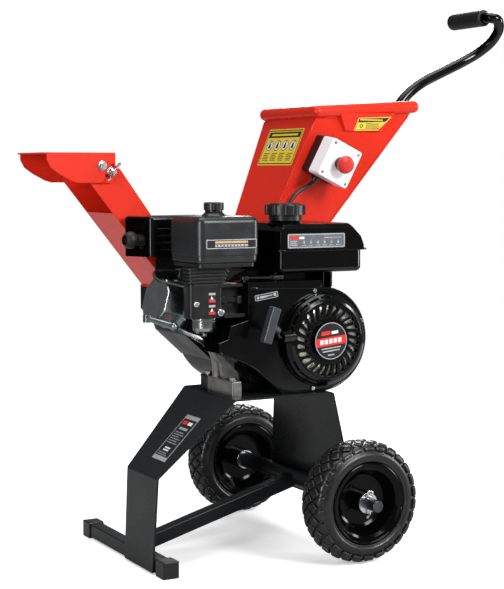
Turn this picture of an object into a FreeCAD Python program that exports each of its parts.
"""Petrol wood chipper on a two-wheeled stand, as separate sub-parts with real joints.

Units are millimetres, +Z is up.  The model is laid out about the wheel axle: x = 0 and y = 0 under
the middle of the axle, +X towards the feed hopper and the tow handle, +Y away from the engine's
recoil starter.  place() then shifts every shape so that the origin is on the ground at the middle
of the whole machine.
"""
import FreeCAD
import Part
import math
import os
from FreeCAD import Matrix, Rotation, Vector

# ---- overall -----------------------------------------------------------------------------------
HOOD_FRONT_X = -566.0        # front lip of the deflector hood
HANDLE_END_X = 652.0         # outermost point of the tow handle
CENTRE_X = (HOOD_FRONT_X + HANDLE_END_X) / 2.0

# ---- wheels and axle ---------------------------------------------------------------------------
WHEEL_R = 130.0
TYRE_WIDTH = 85.0
WHEEL_Y = 268.0
RIM_LIP_R = 86.0
RIM_SEAT_R = 79.0
HUB_HALF = 30.0
HUB_R = 23.0
HUB_BORE_R = 17.5
AXLE_R = 12.5
AXLE_HALF = 340.0
AXLE_TUBE_R = 19.0
AXLE_TUBE_HALF = 234.0
RUNNING_CLEARANCE = 0.06
COTTER_Y = 308.0
COTTER_R = 2.3

# ---- stand -------------------------------------------------------------------------------------
PLATE_T = 4.0
BED_Z = 355.0
STAND_PROFILE = [(-431.7, 4.0), (-422.0, 199.0), (-265.0, BED_Z), (-28.0, BED_Z), (32.0, 93.0)]
STAND_BEND_R = 9.0
FOOT_TUBE = 30.0
FOOT_BACK_X = -396.2
FOOT_NEAR_Y = -205.0
FOOT_FAR_Y = 214.0
FOOT_CAP_LENGTH = 38.0
FOOT_CAP_WALL = 3.0
TUBE_WALL = 2.5
RAIL_FOOT_Z = 20.0
RAIL_TUBE = 30.0

# ---- engine ------------------------------------------------------------------------------------
CRANK_X = -45.0
CRANK_Z = 466.0
CASE_NEAR_Y = -112.0
CASE_FAR_Y = 42.0
CYLINDER_TILT = 15.0
CYLINDER_Y = -50.0
BORE_R = 34.0
FAN_HOUSING_R = 110.0
BOWL_X = -298.0
BOWL_Y = -136.0
CHOKE_X = -262.0
CHOKE_Z = 556.0
CARB_X = -285.0
INTAKE_DUCT_Y = -147.0
INTAKE_DUCT_R = 12.0
FAN_HOUSING_Y = (-185.0, -118.0)
CLEANER_TOP_Z = 729.0
STUD_X = -269.0              # stud and knob of the air cleaner
STUD_Y = -122.0
TANK_LEFT_X = -140.0
SHEET_T = 2.5
RECOIL_FRONT_Y = -215.0
RECOIL_SLOTS = 26
RECOIL_SIDE_SLOTS = (92, 111, 130, 149, 214, 231, 248)   # degrees, anticlockwise from +X
PULLEY_R = 46.0
PULLEY_BORE_R = 12.0
STARTER_GRIP_PLACE = (-199.0, -238.0, 508.0)
STARTER_GRIP_SIZE = (20.0, 22.0, 76.0)
STARTER_GRIP_LEAN = 17.7     # degrees, top towards the recoil cover

# ---- chipper -----------------------------------------------------------------------------------
DRUM_R = 140.0
DRUM_NEAR_Y = 78.0
DRUM_FAR_Y = 232.0
DRUM_WALL = 4.0
THROAT_Z = 620.0
THROAT_X = (-63.0, 68.0)
ROTOR_R = 122.0
KNIFE_R = (52.0, 116.0)

# ---- hopper ------------------------------------------------------------------------------------
HOPPER_LEFT_TOP = (78.0, 949.0)
HOPPER_RIGHT_TOP = (338.0, 965.0)
HOPPER_NEAR_LEAN = 0.1337    # how far the near wall moves outward per mm of height
HOPPER_FAR_LEAN = 0.1307
HOPPER_T = 2.5
RIM_TUBE_R = 14.0

# ---- chute and hood ----------------------------------------------------------------------------
CHUTE_Y = (80.0, 230.0)
CHUTE_T = 2.5
HOOD_Y = (74.0, 236.0)
HOOD_TOP_Z = 861.0
HINGE_X = -435.0
HINGE_Z = 833.0
LOCK_X = -414.0
LOCK_Z = 820.0
HOOD_SWING = 30.0            # degrees either way from rest

# ---- stop switch box ---------------------------------------------------------------------------
BOX_X = 102.5
BOX_Z = 848.3
BOX_TURN = 24.5              # degrees, clockwise as seen from the front
BOX_WIDTH = 86.0
BOX_HEIGHT = 90.0
BOX_BASE_DEPTH = 31.0
BOX_COVER_DEPTH = 43.0
BUTTON_R = 20.0
BUTTON_TRAVEL = 5.5
CABLE_R = 4.5

# ---- tow handle --------------------------------------------------------------------------------
HANDLE_R = 12.5
HANDLE_Y = 155.0
GRIP_R = 20.0
GRIP_X = 602.0
GRIP_Z = 1198.0

X_AXIS = Vector(1, 0, 0)
Y_AXIS = Vector(0, 1, 0)
Z_AXIS = Vector(0, 0, 1)


# ---- building blocks ---------------------------------------------------------------------------
def box(x_range, y_range, z_range):
    size = [high - low for low, high in (x_range, y_range, z_range)]
    return Part.makeBox(size[0], size[1], size[2], Vector(x_range[0], y_range[0], z_range[0]))


def rod(start, end, radius):
    along = end - start
    return Part.makeCylinder(radius, along.Length, start, along)


def ring(start, end, outer, inner):
    return rod(start, end, outer).cut(rod(start, end, inner))


def cone(start, end, radius_start, radius_end):
    along = end - start
    return Part.makeCone(radius_start, radius_end, along.Length, start, along)


def rod_y(x, z, y_range, radius):
    return rod(Vector(x, y_range[0], z), Vector(x, y_range[1], z), radius)


def rod_z(x, y, z_range, radius):
    return rod(Vector(x, y, z_range[0]), Vector(x, y, z_range[1]), radius)


def prism_y(points, y_range):
    """Extrude an outline of (x, z) points along Y."""
    corners = [Vector(x, y_range[0], z) for x, z in points]
    face = Part.Face(Part.makePolygon(corners + [corners[0]]))
    return face.extrude(Vector(0, y_range[1] - y_range[0], 0))


def prism_x(points, x_range):
    """Extrude an outline of (y, z) points along X."""
    corners = [Vector(x_range[0], y, z) for y, z in points]
    face = Part.Face(Part.makePolygon(corners + [corners[0]]))
    return face.extrude(Vector(x_range[1] - x_range[0], 0, 0))


def prism_z(points, z_range):
    """Extrude an outline of (x, y) points along Z."""
    corners = [Vector(x, y, z_range[0]) for x, y in points]
    face = Part.Face(Part.makePolygon(corners + [corners[0]]))
    return face.extrude(Vector(0, 0, z_range[1] - z_range[0]))


def revolve_y(profile, x, z):
    """Turn a closed outline of (radius, y) points about the line through (x, z) along Y."""
    corners = [Vector(x + radius, y, z) for radius, y in profile]
    face = Part.Face(Part.makePolygon(corners + [corners[0]]))
    return face.revolve(Vector(x, 0, z), Y_AXIS, 360)


def revolve_z(profile, x, y):
    """Turn a closed outline of (radius, z) points about the upright line through (x, y)."""
    corners = [Vector(x + radius, y, height) for radius, height in profile]
    face = Part.Face(Part.makePolygon(corners + [corners[0]]))
    return face.revolve(Vector(x, y, 0), Z_AXIS, 360)


def fuse(shapes):
    whole = shapes[0].multiFuse(shapes[1:])
    return whole.removeSplitter()


def cut(shape, tools):
    for tool in tools:
        shape = shape.cut(tool)
    return shape


def parallel(edge, axis):
    ends = [vertex.Point for vertex in edge.Vertexes]
    if len(ends) != 2:
        return False
    along = ends[1] - ends[0]
    return along.Length > 0.1 and along.cross(axis).Length < 0.001 * along.Length


def rounded(shape, radius, axis=None, where=None):
    """Round the edges that run along an axis, or all of them, where a test on the middle holds."""
    edges = [edge for edge in shape.Edges if axis is None or parallel(edge, axis)]
    if where is not None:
        edges = [edge for edge in edges if where(edge.CenterOfMass)]
    return shape.makeFillet(radius, edges)


def around_y(shape, x, z, degrees):
    turned = shape.copy()
    turned.rotate(Vector(x, 0, z), Y_AXIS, degrees)
    return turned


def corner_radius(before, corner, after):
    """The largest gentle arc for a corner: it uses 0.45 of the shorter run beside it."""
    into = corner - before
    out = after - corner
    turn = into.getAngle(out)
    return 0.45 * min(into.Length, out.Length) / math.tan(turn / 2.0)


def route(points):
    """A path of straight runs joined by tangent arcs, and the arc radii."""
    edges = []
    radii = []
    start = points[0]
    for before, corner, after in zip(points, points[1:], points[2:]):
        into = (corner - before).normalize()
        out = (after - corner).normalize()
        radius = corner_radius(before, corner, after)
        reach = radius * math.tan(into.getAngle(out) / 2.0)
        arc_start = corner - into * reach
        arc_end = corner + out * reach
        inward = (out - into).normalize()
        centre_distance = math.hypot(radius, reach)
        middle = corner + inward * (centre_distance - radius)
        edges.append(Part.LineSegment(start, arc_start).toShape())
        edges.append(Part.Arc(arc_start, middle, arc_end).toShape())
        radii.append(radius)
        start = arc_end
    edges.append(Part.LineSegment(start, points[-1]).toShape())
    return Part.Wire(edges), radii


def sweep(points, radius, inner=0.0):
    """A round bar or pipe along a route."""
    path, radii = route(points)
    along = points[1] - points[0]
    profile = Part.Wire(Part.makeCircle(radius, points[0], along))
    solid = path.makePipeShell([profile], True, True)
    if inner > 0.0:
        bore = Part.Wire(Part.makeCircle(inner, points[0], along))
        solid = solid.cut(path.makePipeShell([bore], True, True))
    return solid, path.Length, radii


def hexagon(centre, axis, across_flats, height):
    """A hexagonal bolt head or nut standing on its centre point."""
    reach = across_flats / math.sqrt(3.0)
    side = axis.cross(X_AXIS if abs(axis.x) < 0.9 else Y_AXIS).normalize()
    other = axis.cross(side).normalize()
    corners = []
    for step in range(6):
        angle = math.radians(60 * step)
        corners.append(centre + side * (reach * math.cos(angle)) + other * (reach * math.sin(angle)))
    return Part.Face(Part.makePolygon(corners + [corners[0]])).extrude(axis * height)


def flange_bolt(head_base, axis, thread_r, shank):
    """A flanged hexagon bolt: its head stands out along axis, its shank goes back from the base."""
    flange = rod(head_base, head_base + axis * 1.6, thread_r * 2.1)
    head = hexagon(head_base + axis * 1.6, axis, thread_r * 3.2, thread_r * 1.2)
    shaft = rod(head_base - axis * shank, head_base, thread_r)
    return fuse([flange, head, shaft])


# ---- stand -------------------------------------------------------------------------------------
def offset_inward(points, distance):
    """The same open outline moved sideways, to the right of its direction of travel."""
    lines = []
    for (x0, z0), (x1, z1) in zip(points, points[1:]):
        length = math.hypot(x1 - x0, z1 - z0)
        normal = ((z1 - z0) / length, -(x1 - x0) / length)
        shift = (normal[0] * distance, normal[1] * distance)
        lines.append(((x0 + shift[0], z0 + shift[1]), (x1 + shift[0], z1 + shift[1])))
    moved = [lines[0][0]]
    for (p, q), (r, s) in zip(lines, lines[1:]):
        d1 = (q[0] - p[0], q[1] - p[1])
        d2 = (s[0] - r[0], s[1] - r[1])
        along = ((r[0] - p[0]) * d2[1] - (r[1] - p[1]) * d2[0]) / (d1[0] * d2[1] - d1[1] * d2[0])
        moved.append((p[0] + along * d1[0], p[1] + along * d1[1]))
    moved.append(lines[-1][1])
    return moved


def near_corner(shape_point, corners, reach):
    return any(math.hypot(shape_point.x - x, shape_point.z - z) < reach for x, z in corners)


def engine_bolt_places():
    return [(-238.5, -150.0), (-238.5, -37.0), (-52.0, -98.0), (-52.0, -32.0)]


def stand_plate():
    inner = offset_inward(STAND_PROFILE, PLATE_T)
    strip = prism_y(STAND_PROFILE + inner[::-1], (-230.0, 180.0))
    bends = STAND_PROFILE[1:-1]
    strip = rounded(strip, STAND_BEND_R, Y_AXIS, lambda p: near_corner(p, bends, 0.1))
    strip = rounded(strip, STAND_BEND_R - PLATE_T, Y_AXIS, lambda p: near_corner(p, inner[1:-1], 0.1))
    front = prism_x([(-160, -5), (-166, 199), (-209, BED_Z), (-209, 380), (27, 380), (27, BED_Z),
                     (-17, 199), (-22, -5)], (-460, -240))
    bed = prism_z([(-240, -209), (-240, 27), (-100, 33), (-100, -209)], (330, 380))
    rear = prism_x([(-209, 380), (36, 380), (39, BED_Z), (160, 93), (-213, 93)], (-100, 60))
    plate = strip.common(fuse([front, bed, rear]))
    holes = [rod_z(x, y, (340, 370), 4.5) for x, y in engine_bolt_places()]
    return cut(plate, holes + [rod_y(0, WHEEL_R, (-250, 250), AXLE_TUBE_R + 0.1)])


def foot_bar():
    x_range = (FOOT_BACK_X - FOOT_TUBE, FOOT_BACK_X)
    y_range = (FOOT_NEAR_Y, FOOT_FAR_Y)
    bar = rounded(box(x_range, y_range, (3, 3 + FOOT_TUBE)), 3.0, Y_AXIS)
    hollow = box((x_range[0] + TUBE_WALL, x_range[1] - TUBE_WALL), (y_range[0] - 1, y_range[1] + 1),
                 (3 + TUBE_WALL, 3 + FOOT_TUBE - TUBE_WALL))
    return bar.cut(hollow)


def foot_cap(end_y, inward):
    """A moulded cap over one end of the foot bar; inward is +1 or -1 along Y."""
    wall = FOOT_CAP_WALL
    x_range = (FOOT_BACK_X - FOOT_TUBE - wall, FOOT_BACK_X + wall)
    y_range = sorted((end_y - inward * wall, end_y + inward * (FOOT_CAP_LENGTH - wall)))
    cap = box(x_range, y_range, (0, FOOT_TUBE + 2 * wall))
    cap = rounded(cap, 2.5)
    socket_y = sorted((end_y, end_y + inward * FOOT_CAP_LENGTH))
    socket = box((x_range[0] + wall - 0.1, x_range[1] - wall + 0.1), socket_y,
                 (wall - 0.1, wall + FOOT_TUBE + 0.1))
    return cap.cut(socket)


def foot_caps():
    return Part.makeCompound([foot_cap(FOOT_NEAR_Y, 1), foot_cap(FOOT_FAR_Y, -1)])


def base_rail():
    start = (FOOT_BACK_X + 0.1, RAIL_FOOT_Z)
    end = (0.0, WHEEL_R)
    slope = math.atan2(end[1] - start[1], end[0] - start[0])

    def bar(width):
        rise = width / 2.0 / math.cos(slope)
        outline = [(start[0], start[1] - rise), (end[0], end[1] - rise),
                   (end[0], end[1] + rise), (start[0], start[1] + rise)]
        return prism_y(outline, (-width / 2.0, width / 2.0))

    rail = rounded(bar(RAIL_TUBE), 3.0, Vector(math.cos(slope), 0, math.sin(slope)))
    rail = rail.cut(bar(RAIL_TUBE - 2 * TUBE_WALL))
    return rail.cut(rod_y(0, WHEEL_R, (-60, 60), AXLE_TUBE_R + 0.1))


def axle_tube():
    start = Vector(0, -AXLE_TUBE_HALF, WHEEL_R)
    return ring(start, Vector(0, AXLE_TUBE_HALF, WHEEL_R), AXLE_TUBE_R, AXLE_R + 0.1)


def axle_shaft():
    shaft = rod_y(0, WHEEL_R, (-AXLE_HALF, AXLE_HALF), AXLE_R)
    shaft = shaft.makeChamfer(1.5, [edge for edge in shaft.Edges if len(edge.Vertexes) == 1])
    holes = [rod_z(0, side * COTTER_Y, (WHEEL_R - 20, WHEEL_R + 20), COTTER_R + 0.3) for side in (-1, 1)]
    return cut(shaft, holes)


def washer(y_range):
    lows = Vector(0, y_range[0], WHEEL_R)
    return ring(lows, Vector(0, y_range[1], WHEEL_R), 22.0, AXLE_R + 0.1)


def axle_washers():
    washers = []
    for side in (-1, 1):
        for inner in (WHEEL_Y - HUB_HALF - 3.4, WHEEL_Y + HUB_HALF + 0.4):
            washers.append(washer(sorted((side * inner, side * (inner + 3.0)))))
    return washers


def cotter_pin(side):
    y = side * COTTER_Y
    top = WHEEL_R + AXLE_R
    bend = Vector(0, y, WHEEL_R - AXLE_R - 9)
    shank = rod_z(0, y, (bend.z, top + 1.5), COTTER_R)
    eye = Part.makeTorus(6.0, COTTER_R, Vector(0, y, top + 8.5), Y_AXIS)
    leg = rod(bend, bend + Vector(-9, side * 3, -8), COTTER_R * 0.9)
    knee = Part.makeSphere(COTTER_R, bend)
    return fuse([shank, eye, leg, knee])


# ---- wheels ------------------------------------------------------------------------------------
def tyre(side):
    half = TYRE_WIDTH / 2.0
    profile = [(RIM_SEAT_R + 0.4, -half + 11), (RIM_LIP_R + 2, -half + 9), (RIM_LIP_R + 4, -half + 2),
               (104, -half), (118, -half + 1.5), (125, -half + 6), (128.5, -half + 18), (WHEEL_R, -10),
               (WHEEL_R, 10), (128.5, half - 18), (125, half - 6), (118, half - 1.5), (104, half),
               (RIM_LIP_R + 4, half - 2), (RIM_LIP_R + 2, half - 9), (RIM_SEAT_R + 0.4, half - 11)]
    return revolve_y([(r, side * WHEEL_Y + y) for r, y in profile], 0, WHEEL_R)


def rim(side):
    """Two pressed dishes back to back, welded to a hub tube."""
    half = [(HUB_R, 3.0), (50, 3.0), (56, 6.0), (60, 13), (70, 31.5), (75, 35), (82, 36.5), (84, 39),
            (RIM_LIP_R, 38), (RIM_LIP_R, 35.4), (83.5, 33.8), (RIM_SEAT_R, 33.2), (73, 29.5),
            (62.5, 10), (59, 3), (56.5, 0)]
    outline = half + [(r, -y) for r, y in half[-2::-1]]
    outline += [(HUB_R, -HUB_HALF), (HUB_BORE_R, -HUB_HALF), (HUB_BORE_R, HUB_HALF), (HUB_R, HUB_HALF)]
    return revolve_y([(r, side * WHEEL_Y + y) for r, y in outline], 0, WHEEL_R)


def wheel_bearings(side):
    bearings = []
    for low in (-HUB_HALF + 0.3, HUB_HALF - 12.3):
        start = Vector(0, side * WHEEL_Y + low, WHEEL_R)
        bearings.append(ring(start, start + Vector(0, 12, 0), HUB_BORE_R, AXLE_R + RUNNING_CLEARANCE))
    return Part.makeCompound(bearings)


# ---- engine block ------------------------------------------------------------------------------
def cylinder_point(distance, across=0.0, y=CYLINDER_Y):
    """A point along the tilted cylinder axis, and across it (upwards is positive)."""
    tilt = math.radians(CYLINDER_TILT)
    return Vector(CRANK_X - distance * math.cos(tilt) + across * math.sin(tilt), y,
                  CRANK_Z + distance * math.sin(tilt) + across * math.cos(tilt))


def block_on_cylinder(distances, half_height, half_width, corner):
    """A box square to the cylinder axis, with chamfered long corners."""
    outline = []
    for across, wide in ((-half_height, half_width - corner), (-half_height + corner, half_width),
                         (half_height - corner, half_width), (half_height, half_width - corner)):
        outline.append((across, wide))
    outline += [(across, -wide) for across, wide in outline[::-1]]
    corners = [cylinder_point(distances[0], across, CYLINDER_Y + wide) for across, wide in outline]
    along = cylinder_point(distances[1]) - cylinder_point(distances[0])
    return Part.Face(Part.makePolygon(corners + [corners[0]])).extrude(along)


def crankcase():
    body = rounded(box((-178, 42), (CASE_NEAR_Y, CASE_FAR_Y), (366, 562)), 14.0, Y_AXIS)
    floor = box((-229, -32), (CASE_NEAR_Y, -19), (BED_Z, 372))
    foot = rounded(box((-250, -227), (-168, -19), (BED_Z, 386)), 4.0, Z_AXIS)
    foot = rounded(foot, 2.5, None, lambda p: p.z > 385.9)
    gusset = prism_y([(-240, 384), (-228, 384), (-228, 371), (-199, 371), (-203, 393), (-258, 447),
                      (-270, 452), (-246, 415)], (-110, -96))
    inner_web = prism_y([(-232, 384), (-170, 384), (-170, 505), (-205, 500), (-222, 440)], (-92, -62))
    neck = sweep([Vector(-290, -92, 478), Vector(-275, -92, 468), Vector(-252, -88, 444),
                  Vector(-241, -82, 418), Vector(-238, -78, 384)], 11.0)[0]
    barrel = rod(cylinder_point(95), cylinder_point(236), 46.0)
    fins = [block_on_cylinder((145 + 10.0 * step, 148.5 + 10.0 * step), 52, 52, 14) for step in range(9)]
    solid = fuse([body, floor, foot, gusset, inner_web, neck, barrel] + fins)
    cavity = rod_y(CRANK_X, CRANK_Z, (CASE_NEAR_Y + 10, CASE_FAR_Y + 1), 62.0)
    bore = rod(cylinder_point(40), cylinder_point(237), BORE_R)
    near_bearing = rod_y(CRANK_X, CRANK_Z, (CASE_NEAR_Y - 1, CASE_NEAR_Y + 12), 14.0)
    holes = [rod_z(x, y, (350, 390 if x < -200 else 372), 4.4) for x, y in engine_bolt_places()]
    head_space = block_on_cylinder((236, 300), 55.2, 55.2, 12)
    return cut(solid, [cavity, bore, near_bearing, head_space] + holes)


def crankcase_cover():
    plate = rounded(box((-142, 36), (CASE_FAR_Y + 0.1, 60), (376, 556)), 22.0, Y_AXIS)
    boss = rod_y(CRANK_X, CRANK_Z, (58, 74), 32.0)
    solid = fuse([plate, boss])
    return solid.cut(rod_y(CRANK_X, CRANK_Z, (40, 80), 12.5 + RUNNING_CLEARANCE))


def cylinder_head():
    core = block_on_cylinder((236.2, 285), 46, 46, 10)
    fins = [block_on_cylinder((240 + 9.0 * step, 243 + 9.0 * step), 55, 55, 12) for step in range(5)]
    return fuse([core] + fins)


def valve_cover():
    far_end = 338.0
    base = block_on_cylinder((285.2, 291), 52, 60, 24)
    dome = block_on_cylinder((290, far_end), 46, 56, 26)
    outward = cylinder_point(1) - cylinder_point(0)
    dome = rounded(dome, 4.0, None, lambda p: (p - cylinder_point(far_end)).dot(outward) > -0.5)
    bolts = []
    for across, wide in ((48, 20), (48, -20), (-48, 20), (-48, -20)):
        y = CYLINDER_Y + wide
        bolts.append(rod(cylinder_point(290, across, y), cylinder_point(295, across, y), 5))
    return fuse([base, dome] + bolts)


def spark_plug():
    start = Vector(-300, -28, 592.0)
    hexed = hexagon(start, Z_AXIS, 16.0, 6.0)
    boot = rod_z(-300, -28, (597, 616), 9.0)
    elbow = rod(Vector(-300, -28, 609), Vector(-314, -28, 609), 7.0)
    return fuse([hexed, rounded(boot, 3.0, None, lambda p: p.z > 615.9), elbow])


def spark_plug_lead():
    points = [Vector(-314.2, -28, 609), Vector(-340, -28, 613), Vector(-366, -40, 613),
              Vector(-378, -58, 604), Vector(-374, -80, 593), Vector(-354, -98, 589),
              Vector(-334, -114, 583), Vector(-322, -131.7, 580)]
    return points, 3.0


def governor_arm():
    """Cast arm with a round boss, and the link bar that runs down from it."""
    boss = Vector(-398, -70, 517)
    joint = Vector(-362, -124, 503)
    lower = Vector(-298, -114, 472)
    arm = cone(boss, joint, 5.5, 7.5)
    end = rod(boss - Vector(0, 0, 8), boss + Vector(0, 0, 8), 9.0)
    knuckle = Part.makeSphere(9.0, joint)
    link = rod(joint, lower, 4.5)
    return fuse([arm, end, knuckle, link])


def carburettor():
    body = rounded(box((-318, -276), (-156, -116), (530, 582)), 5.0)
    throat = rod_y(-290, 556, (-120, -105.2), 17.0)
    neck = rod_z(BOWL_X, BOWL_Y, (519, 535), 13.0)
    profile = [(0, 488), (19, 488), (24, 493), (26, 499), (26, 515), (28, 516), (28, 520.5), (0, 520.5)]
    bowl = revolve_z(profile, BOWL_X, BOWL_Y)
    drain = rod_z(BOWL_X, BOWL_Y, (481, 489), 6.0)
    return fuse([body, throat, neck, bowl, drain])


def intake_housing():
    """Moulded cover round the carburettor, open beside the levers, with bellows up to the air cleaner."""
    shell = rounded(box((-347, -270), (-168, -132), (521, 590)), 10.0, Z_AXIS)
    side = box((-272, -226), (-150, -132), (521, 590))
    shelf = rounded(box((-271, -222.5), (-176, -131), (521, 528)), 2.0, Z_AXIS)
    top = rounded(box((-280, -226), (-172, -131), (584, 590)), 2.0, Z_AXIS)
    parts = [shell, side, shelf, top]
    for step in range(5):
        low = 590 + 7.0 * step
        right = -262 + 3.5 * step
        parts.append(rounded(box((-343, right - 5), (-161, -132), (low - 0.5, low + 3.2)), 9.0, Z_AXIS))
        parts.append(rounded(box((-348, right), (-165, -129), (low + 3.0, low + 6.5)), 9.0, Z_AXIS))
    solid = fuse(parts)
    hollows = [box((-343, -274), (-164, -120), (525, 586)), box((-275, -230), (-146, -120), (528, 584)),
               rod_z(CARB_X, INTAKE_DUCT_Y, (580, 640), INTAKE_DUCT_R),
               rod_z(BOWL_X, BOWL_Y, (515, 530), 13.4),
               rod_y(CHOKE_X, CHOKE_Z, (-152, -144), 3.0 + RUNNING_CLEARANCE)]
    return cut(solid, hollows)


def intake_screws():
    front = -168.1
    screw = rod_y(-334, 551, (front - 5, front), 6.0)
    screw = rounded(screw, 2.5, None, lambda p: p.y < front - 4.9)
    dial = rounded(rod_y(-279, 532, (front - 7, front), 7.5), 2.0, None, lambda p: p.y < front - 6.9)
    return [screw, dial]


def choke_lever():
    """Choke lever: it turns about Y on a pin in the recessed part of the intake housing."""
    arm = rod_y(CHOKE_X, CHOKE_Z, (-158, -150.4), 7.0)
    blade = box((CHOKE_X - 2, CHOKE_X + 32), (-157, -153), (CHOKE_Z - 4, CHOKE_Z + 4))
    tip = rounded(box((CHOKE_X + 26, CHOKE_X + 38), (-166, -151), (CHOKE_Z - 9, CHOKE_Z + 9)), 3.0)
    pin = rod_y(CHOKE_X, CHOKE_Z, (-150.4, -145.2), 3.0)
    return fuse([arm, blade, tip, pin])


def throttle_lever():
    """Flat throttle lever under the tank; it swings about an upright pin on the fan housing."""
    hub = rod_z(-212, -150, (596.3, 603), 9.0)
    blade = prism_z([(-214, -158), (-150, -172), (-150, -160), (-210, -142)], (598, 601.5))
    tip = rounded(box((-156, -132), (-176, -156), (594.8, 604.5)), 3.0)
    pin = rod_z(-212, -150, (590, 597), 3.0)
    return fuse([hub, blade, tip, pin])


# ---- air cleaner -------------------------------------------------------------------------------
def air_cleaner_base():
    tray = rounded(box((-332, -199), (-180, -50), (625.3, 633)), 14.0, Z_AXIS)
    stud = rod_z(STUD_X, STUD_Y, (632, 750), 3.0)
    tray = tray.cut(rod_z(CARB_X, INTAKE_DUCT_Y, (620, 640), INTAKE_DUCT_R))
    return fuse([tray, stud])


def air_filter():
    element = rounded(box((-318, -212), (-168, -62), (633.2, 700)), 14.0, Z_AXIS)
    hollow = box((-306, -224), (-156, -74), (632, 690))
    return cut(element, [hollow, rod_z(STUD_X, STUD_Y, (680, 710), 5.0)])


def air_cleaner_cover():
    """Two-part cover: a tucked-in lower part, a seam, and a well rounded top."""
    top = CLEANER_TOP_Z
    seam = 650.0

    def block(inset, z_range, corner):
        around = box((-337 + inset, -192.5 - inset), (-186 + inset, -45 - inset), z_range)
        return rounded(around, corner, Z_AXIS)

    lower = rounded(block(2.2, (633.2, seam), 15.8), 6.0, None, lambda p: p.z < 633.3)
    upper = block(0.0, (seam, top), 18.0)
    upper = rounded(upper, 13.0, None, lambda p: p.z > top - 0.1)
    boss = cone(Vector(STUD_X, STUD_Y, top - 2), Vector(STUD_X, STUD_Y, top + 8), 29, 18)
    hollow = block(8.5, (630, top - 4), 9.5)
    stud_hole = rod_z(STUD_X, STUD_Y, (700, top + 12), 4.0)
    return cut(fuse([lower, upper, boss]), [hollow, stud_hole])


def lobed_knob(x, y, z_range, radius, lobes, scallop, bore):
    """A hand knob with scallops round its rim."""
    knob = rod_z(x, y, z_range, radius)
    knob = rounded(knob, 2.5, None, lambda p: p.z > z_range[1] - 0.1)
    tools = []
    for step in range(lobes):
        angle = 2.0 * math.pi * step / lobes
        reach = radius + scallop * 0.45
        tools.append(rod_z(x + reach * math.cos(angle), y + reach * math.sin(angle),
                           (z_range[0] - 1, z_range[1] + 1), scallop))
    if bore > 0.0:
        tools.append(rod_z(x, y, (z_range[0] - 1, z_range[1] - 6), bore))
    return cut(knob, tools)


def air_knob():
    low = CLEANER_TOP_Z + 8.4
    foot = rod_z(STUD_X, STUD_Y, (low, low + 9), 18.5)
    knob = lobed_knob(STUD_X, STUD_Y, (low + 4, low + 20), 21.0, 12, 2.4, 0.0)
    bore = rod_z(STUD_X, STUD_Y, (low - 1, low + 14), 3.0 + RUNNING_CLEARANCE)
    return fuse([foot, knob]).cut(bore)


# ---- exhaust -----------------------------------------------------------------------------------
def guard_outline(inset):
    return [(-360 + inset * 0.6, -10 + inset), (-214 - inset, -10 + inset), (-214 - inset, 70 - inset),
            (-384 + inset, 70 - inset), (-391 + inset, 52)]


def muffler_guard():
    shell = prism_z(guard_outline(0.0), (640, 726))
    shell = rounded(shell, 12.0, Z_AXIS, lambda p: p.y < 60)
    shell = rounded(shell, 7.0, None, lambda p: p.z > 725.9)
    hollow = prism_z(guard_outline(4.5), (630, 722))
    slots = []
    for column in range(3):
        for row in range(4):
            low_x = -345 + 42.0 * column
            low_z = 655 + 15.0 * row
            slots.append(box((low_x, low_x + 30), (-20, 0), (low_z, low_z + 6)))
    outlet = rod(Vector(-360, 24, 676), Vector(-410, 12, 676), 20.0)
    return cut(shell, [hollow, outlet] + slots)


def muffler():
    can = rounded(box((-362, -222), (-2, 62), (650, 712)), 14.0)
    inlet = sweep([Vector(-297, 6.5, 548), Vector(-297, 32, 552), Vector(-297, 34, 600),
                   Vector(-297, 30, 655)], 11.0)[0]
    pipe = rod(Vector(-355, 23, 676), Vector(-397, 12.5, 676), 12.0)
    dome = Part.makeSphere(18.5, Vector(-398, 12.3, 676))
    tip = cut(dome, [rod(Vector(-404, 11, 676), Vector(-424, 6, 676), 10.0)])
    return fuse([can, inlet, pipe, tip])


# ---- fuel tank ---------------------------------------------------------------------------------
def tank_block(inset, low, high):
    lower = box((TANK_LEFT_X + inset, 66 - inset), (-175 + inset, 15 - inset), (low, 656))
    lower = rounded(lower, 16.0, Z_AXIS)
    left = TANK_LEFT_X + inset
    outline = [(left, 656), (left, high - 15), (left + 12, high), (31 - inset, high),
               (60 - inset, high - 28), (68 - inset, 664), (68 - inset, 656)]
    upper = prism_y(outline, (-175 + inset, 15 - inset))
    upper = rounded(upper, 11.0, X_AXIS, lambda p: p.z > high - 0.1)
    return fuse([lower, upper])


def fuel_tank():
    outer = tank_block(0.0, 607, 711)
    outer = rounded(outer, 10.0, None, lambda p: p.z < 607.1)
    flange = rounded(box((TANK_LEFT_X - 7, 77), (-182, 22), (653.5, 657.0)), 16.0, Z_AXIS)
    neck = rod_z(-97, -120, (706, 726), 27.0)
    collar = cone(Vector(-97, -120, 710), Vector(-97, -120, 716), 40.0, 34.0)
    hollow = tank_block(4.0, 611, 707)
    filler = rod_z(-97, -120, (690, 734), 23.0)
    return cut(fuse([outer, flange, neck, collar] + tank_brackets()), [hollow, filler])


def tank_brackets():
    """Sheet brackets and a heat shield under the tank, welded to its floor."""
    brackets = []
    for low in (-110, 10):
        bracket = box((low, low + 22), (-100, -60), (562.2, 609.5))
        brackets.append(bracket.cut(box((low + 3, low + 19), (-110, -50), (566, 605))))
    brackets.append(box((-160, 58), (-62, -59), (566, 609.5)))
    return brackets


def fuel_cap():
    cap = lobed_knob(-97, -120, (729, 751), 44.0, 12, 6.0, 0.0)
    disc = rounded(rod_z(-97, -120, (750, 753.5), 33.0), 2.0, None, lambda p: p.z > 753.4)
    skirt = ring(Vector(-97, -120, 717), Vector(-97, -120, 731), 35.0, 27.3)
    return fuse([cap, disc, skirt])


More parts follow.
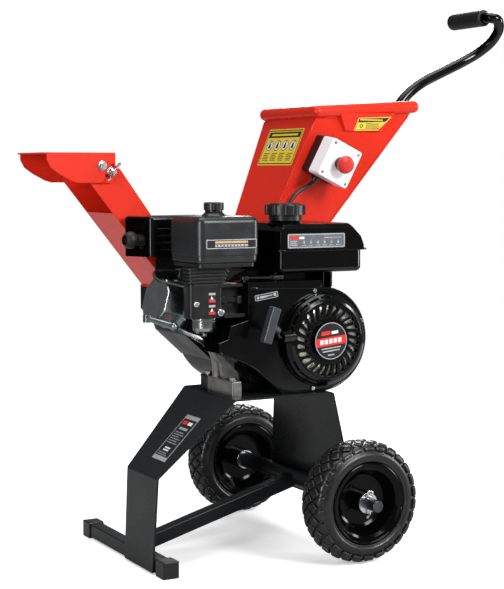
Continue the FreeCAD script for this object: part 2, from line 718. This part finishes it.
# ---- fan housing and starter -------------------------------------------------------------------
SHROUD = [(-222, 592), (-222, 514), (-262, 504), (-268, 477), (-290, 470), (-290, 449), (-241, 433),
          (-204, 412), (-172, 384), (-138, 355.5), (CRANK_X, 355.5), (CRANK_X, 592)]


def shroud_block(inset, y_range):
    centre_x = sum(x for x, _ in SHROUD) / len(SHROUD)
    centre_z = sum(z for _, z in SHROUD) / len(SHROUD)
    outline = []
    for x, z in SHROUD:
        outline.append((x + math.copysign(inset, centre_x - x), z + math.copysign(inset, centre_z - z)))
    wedge = prism_y(outline, y_range)
    disc = rod_y(CRANK_X, CRANK_Z, y_range, FAN_HOUSING_R - inset)
    return fuse([wedge, disc])


def fan_housing():
    outer = shroud_block(0.0, FAN_HOUSING_Y)
    low_y = FAN_HOUSING_Y[0]
    hollow = shroud_block(SHEET_T, (low_y + SHEET_T, FAN_HOUSING_Y[1] + 1))
    mouth = rod_y(CRANK_X, CRANK_Z, (low_y - 1, low_y + 5), 86.0)
    throttle_hole = rod_z(-212, -150, (580, 600), 3.0 + RUNNING_CLEARANCE)
    return cut(outer, [hollow, mouth, throttle_hole])


def recoil_slot(front):
    """Teardrop slot through the recoil cover's face, leaning back from its wide outer end."""
    inner = (52.5, 2.4)
    outer = (73.5, 4.6)
    tilt = math.radians(24)
    spine = Vector(math.cos(tilt), 0, -math.sin(tilt))
    across = Vector(math.sin(tilt), 0, math.cos(tilt))
    start = Vector(inner[0], front - 5, 0)
    end = start + spine * (outer[0] - inner[0])
    corners = [start + across * inner[1], end + across * outer[1], end - across * outer[1],
               start - across * inner[1]]
    depth = Vector(0, 11, 0)
    bar = Part.Face(Part.makePolygon(corners + [corners[0]])).extrude(depth)
    return fuse([bar, rod(start, start + depth, inner[1]), rod(end, end + depth, outer[1])])


def recoil_cover():
    front = RECOIL_FRONT_Y
    back = FAN_HOUSING_Y[0] - 0.1
    profile = [(0, front), (82, front), (88, front + 3), (97, front + 12), (101, back - 3), (101, back),
               (90, back), (90, front + 14), (84, front + 6.5), (79, front + 3), (0, front + 3)]
    cover = revolve_y(profile, CRANK_X, CRANK_Z)
    slot = recoil_slot(front)
    slot.translate(Vector(CRANK_X, 0, CRANK_Z))
    slots = [around_y(slot, CRANK_X, CRANK_Z, 360.0 * step / RECOIL_SLOTS) for step in range(RECOIL_SLOTS)]
    for degrees in RECOIL_SIDE_SLOTS:
        for low, high in ((front + 4.5, front + 9.0), (front + 16.0, front + 21.0)):
            louvre = box((CRANK_X + 80, CRANK_X + 106), (low, high), (CRANK_Z - 12, CRANK_Z + 12))
            slots.append(around_y(louvre, CRANK_X, CRANK_Z, -degrees))
    rope_boss = rod(Vector(-112, -199, 478), Vector(-160, -212, 478), 13.0)
    rope_hole = rod(Vector(-100, -196, 478), Vector(-170, -214.6, 478), 5.0)
    post = rod_y(CRANK_X, CRANK_Z, (front + 2, -194), PULLEY_BORE_R - RUNNING_CLEARANCE)
    shell = fuse([cover, post, rope_boss.cut(rod_y(CRANK_X, CRANK_Z, (front + 3, back + 5), 90.0))])
    return cut(shell, slots + [rope_hole])


def starter_pulley():
    groove = [(PULLEY_BORE_R, -208), (PULLEY_R, -208), (PULLEY_R, -206), (PULLEY_R - 6, -203),
              (PULLEY_R - 6, -201), (PULLEY_R, -198), (PULLEY_R, -196), (PULLEY_BORE_R, -196)]
    return revolve_y(groove, CRANK_X, CRANK_Z)


def starter_grip():
    """Pull handle: a leaning bar with soft corners and a stem for the rope."""
    half = [size / 2.0 for size in STARTER_GRIP_SIZE]
    bar = box((-half[0], half[0]), (-half[1], half[1]), (-half[2], half[2]))
    bar = rounded(rounded(bar, 4.0, Z_AXIS), 3.0, None, lambda p: abs(p.z) > half[2] - 0.1)
    bar.rotate(Vector(0, 0, 0), Y_AXIS, STARTER_GRIP_LEAN)
    place = Vector(*STARTER_GRIP_PLACE)
    bar.translate(place)
    stem = cone(place + Vector(4, 2, -2), place + Vector(26, 12.5, -14), 9.0, 6.5)
    return fuse([bar, stem])


def cover_bolts():
    bolts = []
    for degrees in (20, 100, 258):
        angle = math.radians(degrees)
        place = Vector(CRANK_X + 105.8 * math.cos(angle), FAN_HOUSING_Y[0] - 0.1,
                       CRANK_Z + 105.8 * math.sin(angle))
        bolts.append(rod(place, place - Y_AXIS * 5.0, 4.2))
    for x, z in ((-128, 390), (-128, 542), (22, 390), (22, 542)):
        bolts.append(hexagon(Vector(x, 60.1, z), Y_AXIS, 10.0, 6.0))
    return bolts


def crankshaft():
    parts = [rod_y(CRANK_X, CRANK_Z, (-184, 226), 10.0), rod_y(CRANK_X, CRANK_Z, (-97, 74), 12.5)]
    for low in (-82, -38):
        parts.append(rod_y(CRANK_X, CRANK_Z, (low, low + 16), 46.0))
    parts.append(rod_y(CRANK_X, CRANK_Z + 27, (-70, -36), 15.0))
    return fuse(parts)


def flywheel_fan():
    disc = ring(Vector(CRANK_X, -150, CRANK_Z), Vector(CRANK_X, -126, CRANK_Z), 88.0, 10.0)
    blades = []
    blade = box((CRANK_X + 52, CRANK_X + 98), (-176, -149), (CRANK_Z - 1.5, CRANK_Z + 1.5))
    for step in range(16):
        blades.append(around_y(blade, CRANK_X, CRANK_Z, 22.5 * step))
    cup = ring(Vector(CRANK_X, -180, CRANK_Z), Vector(CRANK_X, -149, CRANK_Z), 34.0, 10.0)
    return fuse([disc, cup] + blades)


def engine_bolts():
    bolts = []
    for x, y in engine_bolt_places():
        under = Vector(x, y, BED_Z - PLATE_T - 0.1)
        if x < -200:
            bolts.append(flange_bolt(Vector(x, y, 386.1), Z_AXIS, 4.0, 386 - under.z + 12))
            nut = hexagon(under - Z_AXIS * 6.5, Z_AXIS, 13.0, 6.5)
            bolts.append(nut.cut(rod_z(x, y, (330, 360), 4.05)))
        else:
            bolts.append(flange_bolt(under, Z_AXIS * -1, 4.0, 20.0))
    return bolts


# ---- chipper housing ---------------------------------------------------------------------------
def outlet_outline(inset):
    """Left outline of the duct that leads from the drum up to the chute."""
    return [(-273 + inset, 560 - inset), (-273 + inset, 508 + inset * 0.5),
            (-243 + inset, 478 + inset * 0.6), (-236 + inset, 458 + inset),
            (-170 + inset * 0.4, 398 + inset), (-100, 398 + inset), (-100, 560 - inset)]


CHUTE_PROFILE = [(-271, 560), (-467, 805), (-440, 845), (-408, 838), (-390, 825), (-197, 560)]


def throat_bolt_places():
    return [(x, y) for x in (THROAT_X[0] - 7, THROAT_X[1] + 7) for y in (DRUM_NEAR_Y - 5, DRUM_FAR_Y + 6)]


def rotor_housing():
    far = DRUM_FAR_Y
    wall = DRUM_WALL
    y_outer = (DRUM_NEAR_Y, far)
    y_inner = (DRUM_NEAR_Y + wall, far + 1)
    drum = rod_y(CRANK_X, CRANK_Z, y_outer, DRUM_R)
    throat = box(THROAT_X, y_outer, (CRANK_Z + 80, THROAT_Z))
    flange = box((THROAT_X[0] - 14, THROAT_X[1] + 14), (y_outer[0] - 12, far + 12),
                 (THROAT_Z - 5, THROAT_Z))
    outlet = prism_y(outlet_outline(0.0), y_outer)
    mount = ring(Vector(CRANK_X, 60.2, CRANK_Z), Vector(CRANK_X, DRUM_NEAR_Y + 1, CRANK_Z), 62.0, 34.0)
    outer = fuse([drum, throat, flange, outlet, mount])
    inside = fuse([rod_y(CRANK_X, CRANK_Z, y_inner, DRUM_R - wall),
                   box((THROAT_X[0] + wall, THROAT_X[1] - wall), (y_inner[0], far - wall),
                       (CRANK_Z + 60, THROAT_Z + 1)),
                   prism_y(outlet_outline(wall), y_inner),
                   box((-265, -203), (CHUTE_Y[0] + wall, CHUTE_Y[1] - wall), (540, 570))])
    return cut(outer, [inside, rod_y(CRANK_X, CRANK_Z, (50, 90), 14.0)])


def rotor_housing_cover():
    """Ribbed end plate of the drum, with the outboard bearing that the rotor's stub shaft runs in."""
    far = DRUM_FAR_Y + 0.1
    plate = fuse([rod_y(CRANK_X, CRANK_Z, (far, far + 5), DRUM_R),
                  prism_y(outlet_outline(0.0), (far, far + 5)),
                  box(THROAT_X, (far, far + 5), (CRANK_Z + 80, THROAT_Z - 14))])
    boss = rod_y(CRANK_X, CRANK_Z, (far, far + 20), 34.0)
    ribs = [around_y(box((CRANK_X + 25, CRANK_X + 124), (far + 4, far + 12), (CRANK_Z - 3, CRANK_Z + 3)),
                     CRANK_X, CRANK_Z, 60 * step) for step in range(6)]
    pocket = rod_y(CRANK_X, CRANK_Z, (far - 1, far + 14), 21.0)
    bearing = ring(Vector(CRANK_X, far + 0.1, CRANK_Z), Vector(CRANK_X, far + 13, CRANK_Z), 20.9,
                   10.0 + RUNNING_CLEARANCE)
    nut_room = [rod_z(x, y, (600, 616), 7.0) for x, y in throat_bolt_places()]
    top = box((-200, 200), (far - 1, far + 30), (THROAT_Z - 5.1, THROAT_Z + 20))
    return Part.makeCompound([cut(fuse([plate, boss] + ribs), [pocket, top] + nut_room), bearing])


def rotor_disc():
    disc = ring(Vector(CRANK_X, 148, CRANK_Z), Vector(CRANK_X, 164, CRANK_Z), ROTOR_R, 10.0)
    hub = ring(Vector(CRANK_X, 96, CRANK_Z), Vector(CRANK_X, 214, CRANK_Z), 28.0, 10.0)
    stub = ring(Vector(CRANK_X, 226, CRANK_Z), Vector(CRANK_X, 243, CRANK_Z), 10.0, 4.0)
    neck = ring(Vector(CRANK_X, 213, CRANK_Z), Vector(CRANK_X, 226.5, CRANK_Z), 16.0, 10.0)
    return fuse([disc, hub, neck, stub])


def rotor_knives():
    knives = []
    for step in range(4):
        low = 112.0 if step % 2 == 0 else 164.2
        block = box((CRANK_X + KNIFE_R[0], CRANK_X + KNIFE_R[1]), (low, low + 35.6),
                    (CRANK_Z - 11, CRANK_Z + 11))
        knives.append(around_y(block, CRANK_X, CRANK_Z, 90 * step))
    return Part.makeCompound(knives)


def anvil():
    return box((THROAT_X[1] - DRUM_WALL - 26, THROAT_X[1] - DRUM_WALL - 0.1), (84, 226), (604, 611))


def housing_bolts():
    bolts = []
    for x, y in throat_bolt_places():
        bolts.append(flange_bolt(Vector(x, y, THROAT_Z + 3.1), Z_AXIS, 3.0, 0.05))
        bolts.append(hexagon(Vector(x, y, THROAT_Z - 11.1), Z_AXIS, 10.0, 6.0))
    for step in range(8):
        angle = math.radians(22.5 + 45 * step)
        reach = DRUM_R - 8.0
        place = Vector(CRANK_X + reach * math.cos(angle), DRUM_FAR_Y + 5.2,
                       CRANK_Z + reach * math.sin(angle))
        bolts.append(flange_bolt(place, Y_AXIS, 3.0, 0.05))
    return bolts


# ---- hopper ------------------------------------------------------------------------------------
def near_wall_y(height):
    return CHUTE_Y[0] - HOPPER_NEAR_LEAN * (height - THROAT_Z)


def far_wall_y(height):
    return DRUM_FAR_Y + HOPPER_FAR_LEAN * (height - THROAT_Z)


def side_line(foot, top, height):
    return foot + (top[0] - foot) * (height - THROAT_Z) / (top[1] - THROAT_Z)


def hopper_block(inset, low, high):
    """The funnel's outside (or its inside, with an inset) between two heights."""
    left = THROAT_X[0]
    right = THROAT_X[1]
    side = prism_y([(side_line(left, HOPPER_LEFT_TOP, low) + inset, low),
                    (side_line(right, HOPPER_RIGHT_TOP, low) - inset * 1.2, low),
                    (side_line(right, HOPPER_RIGHT_TOP, high) - inset * 1.2, high),
                    (side_line(left, HOPPER_LEFT_TOP, high) + inset, high)], (-100, 400))
    front = prism_x([(near_wall_y(low) + inset, low), (far_wall_y(low) - inset, low),
                     (far_wall_y(high) - inset, high), (near_wall_y(high) + inset, high)], (-200, 600))
    return side.common(front)


def above_rim_plane():
    """Everything above the slightly rising plane of the hopper's mouth."""
    (x0, z0), (x1, z1) = HOPPER_LEFT_TOP, HOPPER_RIGHT_TOP
    slope = (z1 - z0) / (x1 - x0)
    plane_low = (-300, z0 - slope * (x0 + 300))
    plane_high = (800, z1 + slope * (800 - x1))
    return prism_y([plane_low, plane_high, (800, 1400), (-300, 1400)], (-200, 500))


def hopper():
    outer = hopper_block(0.0, THROAT_Z, 1000).cut(above_rim_plane())
    flange = box((THROAT_X[0] - 14, THROAT_X[1] + 10), (DRUM_NEAR_Y - 12, DRUM_FAR_Y + 12),
                 (THROAT_Z + 0.1, THROAT_Z + 3))
    pocket = prism_y([(131, 954), (153, 914), (250, 914), (283, 956)], (-40, 120))
    wedge = prism_x([(near_wall_y(912) - 6, 912), (near_wall_y(960) - 14, 960), (90, 960), (90, 912)],
                    (100, 320))
    bump = pocket.common(wedge)
    solid = fuse([outer, bump.cut(above_rim_plane()), flange])
    solid = fuse([solid] + handle_saddles())
    return cut(solid, [hopper_block(HOPPER_T, THROAT_Z - 20, 1010), hopper_rim()])


def hopper_rim():
    (x0, z0), (x1, z1) = HOPPER_LEFT_TOP, HOPPER_RIGHT_TOP
    lift = 7.0
    corners = [Vector(x0, near_wall_y(z0), z0 + lift), Vector(x1, near_wall_y(z1), z1 + lift),
               Vector(x1, far_wall_y(z1), z1 + lift), Vector(x0, far_wall_y(z0), z0 + lift)]
    parts = []
    for start, end in zip(corners, corners[1:] + corners[:1]):
        parts.append(rod(start, end, RIM_TUBE_R))
        parts.append(Part.makeSphere(RIM_TUBE_R, start))
    rim_solid = fuse(parts)
    walls = hopper_block(0.0, 900, 1000).cut(hopper_block(HOPPER_T, 890, 1010)).cut(above_rim_plane())
    return rim_solid.cut(walls)


# ---- discharge chute and hood ------------------------------------------------------------------
def chute():
    outer = prism_y(CHUTE_PROFILE, CHUTE_Y)
    hollow = prism_y([(-260, 550), (-464.5, 805), (-500, 900), (-380, 900), (-410.5, 834), (-394, 821),
                      (-193, 550)], (CHUTE_Y[0] + CHUTE_T, CHUTE_Y[1] - CHUTE_T))
    open_front = prism_y([(-410, 731), (-385, 731), (-385, 760), (-420, 900), (-520, 900), (-500, 731)],
                         (CHUTE_Y[0] + CHUTE_T, CHUTE_Y[1] - CHUTE_T))
    pivot = rod_y(HINGE_X, HINGE_Z, (60, 250), 4.2)
    lock = rod_y(LOCK_X, LOCK_Z, (60, 250), 4.2)
    foot = box((-276, -185), (CHUTE_Y[0] - 2, CHUTE_Y[1] + 2), (560.1, 563))
    solid = fuse([outer.cut(box((-600, 0), (0, 300), (500, 560.1))), foot])
    return cut(solid, [hollow, open_front, pivot, lock])


def hood_outline(inset):
    return [(HOOD_FRONT_X + 6 + inset, HOOD_TOP_Z - inset), (-560 + inset, 846), (-551 + inset, 829),
            (-531 + inset, 815), (-504, 801 + inset), (-489, 796.5 + inset), (-413, 796.5 + inset),
            (-404 - inset, 807), (-404 - inset, HOOD_TOP_Z - inset)]


def lock_slot():
    """Curved slot round the hinge that the lock bolts slide in as the hood tilts."""
    reach = math.hypot(LOCK_X - HINGE_X, LOCK_Z - HINGE_Z)
    half = 4.6
    band = ring(Vector(HINGE_X, 60, HINGE_Z), Vector(HINGE_X, 250, HINGE_Z), reach + half, reach - half)
    rest = math.atan2(LOCK_Z - HINGE_Z, LOCK_X - HINGE_X)
    swing = math.radians(HOOD_SWING + 1.0)
    fan = [(HINGE_X, HINGE_Z)]
    for step in range(5):
        angle = rest - swing + swing * step / 2.0
        fan.append((HINGE_X + 60 * math.cos(angle), HINGE_Z + 60 * math.sin(angle)))
    ends = [around_y(rod_y(LOCK_X, LOCK_Z, (60, 250), half), HINGE_X, HINGE_Z, sign * (HOOD_SWING + 1.0))
            for sign in (-1, 1)]
    return fuse([band.common(prism_y(fan, (60, 250)))] + ends)


def deflector_hood():
    """Inverted channel over the chute's mouth; it tilts on two pivot bolts."""
    sheet = 2.5
    outer = prism_y(hood_outline(0.0), HOOD_Y)
    hollow = prism_y([(-700, 700), (-700, HOOD_TOP_Z - sheet), (-300, HOOD_TOP_Z - sheet), (-300, 700)],
                     (HOOD_Y[0] + sheet, HOOD_Y[1] - sheet))
    lip = box((HOOD_FRONT_X, HOOD_FRONT_X + 12), HOOD_Y, (HOOD_TOP_Z - 3.4, HOOD_TOP_Z))
    lip = rounded(lip, 1.5, Y_AXIS)
    shell = fuse([outer.cut(hollow), lip])
    bore = rod_y(HINGE_X, HINGE_Z, (60, 250), 4.0 + RUNNING_CLEARANCE)
    return cut(shell, [bore, lock_slot()])


def pivot_bolts():
    bolts = []
    for side in (-1, 1):
        inner = CHUTE_Y[0] if side < 0 else CHUTE_Y[1]
        face = HOOD_Y[0] if side < 0 else HOOD_Y[1]
        for x, z, proud in ((HINGE_X, HINGE_Z, 8.0), (LOCK_X, LOCK_Z, 20.0)):
            back = Vector(x, inner - side * 8.0, z)
            axis = Vector(0, side, 0)
            shank = rod(back, Vector(x, face + side * proud, z), 4.0)
            head = hexagon(back, axis, 13.0, 5.4)
            bolts.append(fuse([shank, head]))
            if proud < 10:
                outside = Vector(x, face + side * 0.4, z)
                seat = rod(outside, outside + axis * 1.8, 10.5)
                bolts[-1] = fuse([bolts[-1], seat, hexagon(outside + axis * 1.8, axis, 13.0, 6.5)])
    return bolts


def wing_nut(side):
    face = HOOD_Y[0] if side < 0 else HOOD_Y[1]
    axis = Vector(0, side, 0)
    start = Vector(LOCK_X, face + side * 0.4, LOCK_Z)
    flange = rod(start, start + axis * 2.0, 10.0)
    hub = cone(start + axis * 1.9, start + axis * 11.0, 8.0, 6.0)
    wings = []
    half_sheet = Vector(0.8, 0, -0.6) * 1.6
    for direction in (-1, 1):
        corners = []
        for reach, out in ((4, 3.5), (14.5, 9.4), (22, 10.0), (24, 17.0), (17, 20.5), (5, 11.5)):
            along = Vector(0.6, 0, 0.8) * (direction * reach)
            corners.append(start + axis * out + along - half_sheet)
        wings.append(Part.Face(Part.makePolygon(corners + [corners[0]])).extrude(half_sheet * 2))
    nut = fuse([flange, hub] + wings)
    return nut.cut(rod(start - axis, start + axis * 25, 4.0 + RUNNING_CLEARANCE))


# ---- stop switch box ---------------------------------------------------------------------------
def box_frame():
    """Matrix that takes (across, up, outward) from the box's centre on the near wall to the model."""
    lean = math.atan(HOPPER_NEAR_LEAN)
    turn = math.radians(BOX_TURN)
    outward = Vector(0, -math.cos(lean), -math.sin(lean))
    level = Vector(1, 0, 0)
    upward = outward.cross(level) * -1.0
    if upward.z < 0:
        upward = upward * -1.0
    across = level * math.cos(turn) - upward * math.sin(turn)
    up = level * math.sin(turn) + upward * math.cos(turn)
    origin = Vector(BOX_X, near_wall_y(BOX_Z) - 0.1, BOX_Z)
    return Matrix(across.x, up.x, outward.x, origin.x, across.y, up.y, outward.y, origin.y,
                  across.z, up.z, outward.z, origin.z, 0, 0, 0, 1)


def on_box(shape):
    """Carry a shape drawn in the box's own axes to its place on the hopper."""
    matrix = box_frame()
    moved = shape.copy()
    placement = FreeCAD.Placement(matrix)
    moved.Placement = placement.multiply(moved.Placement)
    return moved


def box_point(across, up, outward):
    return box_frame().multVec(Vector(across, up, outward))


def switch_block(depth_range, corner):
    half_w = BOX_WIDTH / 2.0
    half_h = BOX_HEIGHT / 2.0
    return rounded(box((-half_w, half_w), (-half_h, half_h), depth_range), corner, Z_AXIS)


def switch_box_base():
    block = switch_block((0, BOX_BASE_DEPTH), 6.0)
    hollow = box((-BOX_WIDTH / 2 + 3, BOX_WIDTH / 2 - 3), (-BOX_HEIGHT / 2 + 3, BOX_HEIGHT / 2 - 3),
                 (3, 60))
    gland_hole = rod(Vector(-8, -60, 15), Vector(-8, -30, 15), 6.0)
    return on_box(cut(block, [hollow, gland_hole]))


def switch_box_cover():
    low = BOX_BASE_DEPTH + 0.1
    high = BOX_BASE_DEPTH + BOX_COVER_DEPTH
    block = switch_block((low, high), 6.0)
    block = rounded(block, 3.0, None, lambda p: p.z > high - 0.1)
    hollow = box((-BOX_WIDTH / 2 + 3, BOX_WIDTH / 2 - 3), (-BOX_HEIGHT / 2 + 3, BOX_HEIGHT / 2 - 3),
                 (low - 1, high - 3))
    holes = [rod(Vector(0, 0, high - 10), Vector(0, 0, high + 1), 11.3)]
    for x in (-34, 34):
        for y in (-36, 36):
            holes.append(rod(Vector(x, y, high - 2), Vector(x, y, high + 1), 3.6))
    return on_box(cut(block, [hollow] + holes))


def switch_screws():
    high = BOX_BASE_DEPTH + BOX_COVER_DEPTH
    screws = []
    for x in (-34, 34):
        for y in (-36, 36):
            head = rod(Vector(x, y, high - 1.9), Vector(x, y, high - 0.4), 3.4)
            slot = box((x - 4, x + 4), (y - 0.5, y + 0.5), (high - 1.0, high + 1))
            screws.append(on_box(head.cut(slot)))
    return screws


def switch_collar():
    high = BOX_BASE_DEPTH + BOX_COVER_DEPTH
    flange = ring(Vector(0, 0, high + 0.1), Vector(0, 0, high + 10), 15.0, 11.0)
    sleeve = ring(Vector(0, 0, high - 24), Vector(0, 0, high + 0.2), 11.0, 8.2)
    back = rod(Vector(0, 0, high - 30), Vector(0, 0, high - 24), 11.0)
    return on_box(fuse([flange.cut(rod(Vector(0, 0, high), Vector(0, 0, high + 20), 11.2)), sleeve, back,
                        ring(Vector(0, 0, high + 0.1), Vector(0, 0, high + 4), 11.5, 8.2)]))


def stop_button():
    high = BOX_BASE_DEPTH + BOX_COVER_DEPTH
    foot = high + 10 + BUTTON_TRAVEL + 0.4
    profile = [(0, foot), (BUTTON_R - 2, foot), (BUTTON_R, foot + 2.5), (BUTTON_R, foot + 9),
               (BUTTON_R - 2.5, foot + 14), (BUTTON_R - 8, foot + 17), (0, foot + 18)]
    cap = revolve_z(profile, 0, 0)
    stem = rod(Vector(0, 0, high - 12), Vector(0, 0, foot + 1), 8.2 - RUNNING_CLEARANCE)
    return on_box(fuse([cap, stem]))


def cable_gland():
    nut = hexagon(Vector(-8, -BOX_HEIGHT / 2 - 0.1, 15), Vector(0, -1, 0), 17.0, 4.0)
    dome = cone(Vector(-8, -BOX_HEIGHT / 2 - 4.0, 15), Vector(-8, -BOX_HEIGHT / 2 - 12, 15), 7.6, 5.8)
    thread = rod(Vector(-8, -BOX_HEIGHT / 2 - 1, 15), Vector(-8, -BOX_HEIGHT / 2 + 8, 15), 5.9)
    bore = rod(Vector(-8, -BOX_HEIGHT, 15), Vector(-8, -BOX_HEIGHT / 2 + 20, 15), CABLE_R)
    return on_box(fuse([nut, dome, thread]).cut(bore))


def switch_cable():
    start = box_point(-8, -BOX_HEIGHT / 2 + 8, 15)
    mouth = box_point(-8, -BOX_HEIGHT / 2 - 16, 15)
    points = [start, mouth, Vector(52, 42, 786), Vector(30, 43, 774), Vector(12, 43, 754),
              Vector(0, 42, 730),
              Vector(-8, 42, 700), Vector(-10, 43, 668), Vector(-14, 41, 638), Vector(-22, 32, 612),
              Vector(-30, 12, 597), Vector(-37, -14, 592), Vector(-44, -38, 585), Vector(-46, -42, 562.2)]
    return points, CABLE_R


# ---- tow handle --------------------------------------------------------------------------------
def handle_route():
    """Along the hopper's sloping wall, past the rim, then up and round into the grip."""
    y = HANDLE_Y
    return [Vector(214, y, 756), Vector(300, y, 867), Vector(360, y, 950), Vector(398, y, 1002),
            Vector(446, y, 1037), Vector(510, y, 1065), Vector(570, y, 1091), Vector(612, y - 9, 1114),
            Vector(638, y - 33, 1142), Vector(641, y - 59, 1172), Vector(621, y - 77, 1194),
            Vector(GRIP_X, y - 62, GRIP_Z), Vector(GRIP_X, y + 70, GRIP_Z)]


def handle_grip():
    start = Vector(GRIP_X, 107, GRIP_Z)
    end = Vector(GRIP_X, 236, GRIP_Z)
    grip = rounded(rod(start, end, GRIP_R), 4.0)
    ribs = []
    along = (end - start).normalize()
    for step in range(13):
        middle = start + along * (14 + 8.2 * step)
        ribs.append(ring(middle, middle + along * 2.6, GRIP_R + 3, GRIP_R - 0.9))
    socket = rod(start - along, start + along * 119.5, HANDLE_R + 0.15)
    return cut(grip, ribs + [socket])


def handle_saddles():
    """Two saddles that hold the handle off the hopper's sloping wall."""
    saddles = []
    wall = Vector(HOPPER_RIGHT_TOP[0] - THROAT_X[1], 0, HOPPER_RIGHT_TOP[1] - THROAT_Z).normalize()
    outward = Vector(wall.z, 0, -wall.x)
    foot = Vector(THROAT_X[1], HANDLE_Y, THROAT_Z)
    for distance in (215.0, 345.0):
        centre = foot + wall * distance
        block = Part.makeBox(30, 44, 40, Vector(-15, -22, -0.5))
        matrix = Matrix(wall.x, 0, outward.x, centre.x, 0, -1, 0, centre.y,
                        wall.z, 0, outward.z, centre.z, 0, 0, 0, 1)
        block.Placement = FreeCAD.Placement(matrix)
        saddles.append(block)
    tube = sweep(handle_route(), HANDLE_R + 0.1)[0]
    return [saddle.cut(tube) for saddle in saddles]


# ---- assembly ----------------------------------------------------------------------------------
def place(shape):
    """Shift a shape from the axle's frame to the machine's own origin."""
    moved = shape.copy()
    moved.translate(Vector(-CENTRE_X, 0, 0))
    return moved


def cords():
    """The two held leads and the handle tube, with their radii and volumes printed."""
    made = {}
    for name, (points, radius) in (("spark_plug_lead", spark_plug_lead()), ("switch_cable", switch_cable()),
                                   ("tow_handle", (handle_route(), HANDLE_R))):
        inner = HANDLE_R - 2.0 if name == "tow_handle" else 0.0
        solid, length, radii = sweep(points, radius, inner)
        section = math.pi * (radius ** 2 - inner ** 2)
        made[name] = solid
        print(name, "length", round(length), "radii", [round(value) for value in radii],
              "volume ratio", round(solid.Volume / (section * length), 4))
    return made


def nodes():
    group = Part.makeCompound
    parts = {
        "stand_plate": stand_plate(),
        "foot_bar": foot_bar(),
        "foot_caps": foot_caps(),
        "base_rail": base_rail(),
        "axle_tube": axle_tube(),
        "axle_shaft": axle_shaft(),
        "axle_fasteners": group(axle_washers() + [cotter_pin(-1), cotter_pin(1)]),
        "engine_bolts": group(engine_bolts() + cover_bolts()),
        "crankcase": crankcase(),
        "crankcase_cover": crankcase_cover(),
        "cylinder_head": cylinder_head(),
        "valve_cover": valve_cover(),
        "spark_plug": spark_plug(),
        "governor_arm": governor_arm(),
        "carburettor": carburettor(),
        "intake_housing": intake_housing(),
        "air_cleaner_base": air_cleaner_base(),
        "air_filter": air_filter(),
        "air_cleaner_cover": air_cleaner_cover(),
        "muffler": muffler(),
        "muffler_guard": muffler_guard(),
        "fuel_tank": fuel_tank(),
        "fan_housing": fan_housing(),
        "recoil_cover": recoil_cover(),
        "rotor_housing": rotor_housing(),
        "rotor_housing_cover": rotor_housing_cover(),
        "anvil": anvil(),
        "chipper_bolts": group(housing_bolts() + pivot_bolts()),
        "hopper": hopper(),
        "hopper_rim": hopper_rim(),
        "chute": chute(),
        "handle_grip": handle_grip(),
        "switch_box_base": switch_box_base(),
        "switch_box_cover": switch_box_cover(),
        "cover_screws": group(switch_screws() + intake_screws()),
        "switch_collar": switch_collar(),
        "cable_gland": cable_gland(),
        "choke_lever": choke_lever(),
        "throttle_lever": throttle_lever(),
        "air_knob": air_knob(),
        "fuel_cap": fuel_cap(),
        "starter_pulley": starter_pulley(),
        "starter_grip": starter_grip(),
        "stop_button": stop_button(),
        "deflector_hood": deflector_hood(),
        "wing_nut_near": wing_nut(-1),
        "wing_nut_far": wing_nut(1),
        "crankshaft": crankshaft(),
        "flywheel_fan": flywheel_fan(),
        "rotor_disc": rotor_disc(),
        "rotor_knives": rotor_knives(),
    }
    for name, side in (("near", -1), ("far", 1)):
        parts["tyre_" + name] = tyre(side)
        parts["rim_" + name] = rim(side)
        parts["wheel_bearings_" + name] = wheel_bearings(side)
    parts.update(cords())
    return parts


def main():
    os.makedirs("parts", exist_ok=True)
    for name, shape in nodes().items():
        place(shape).exportStep("parts/" + name + ".step")


main()
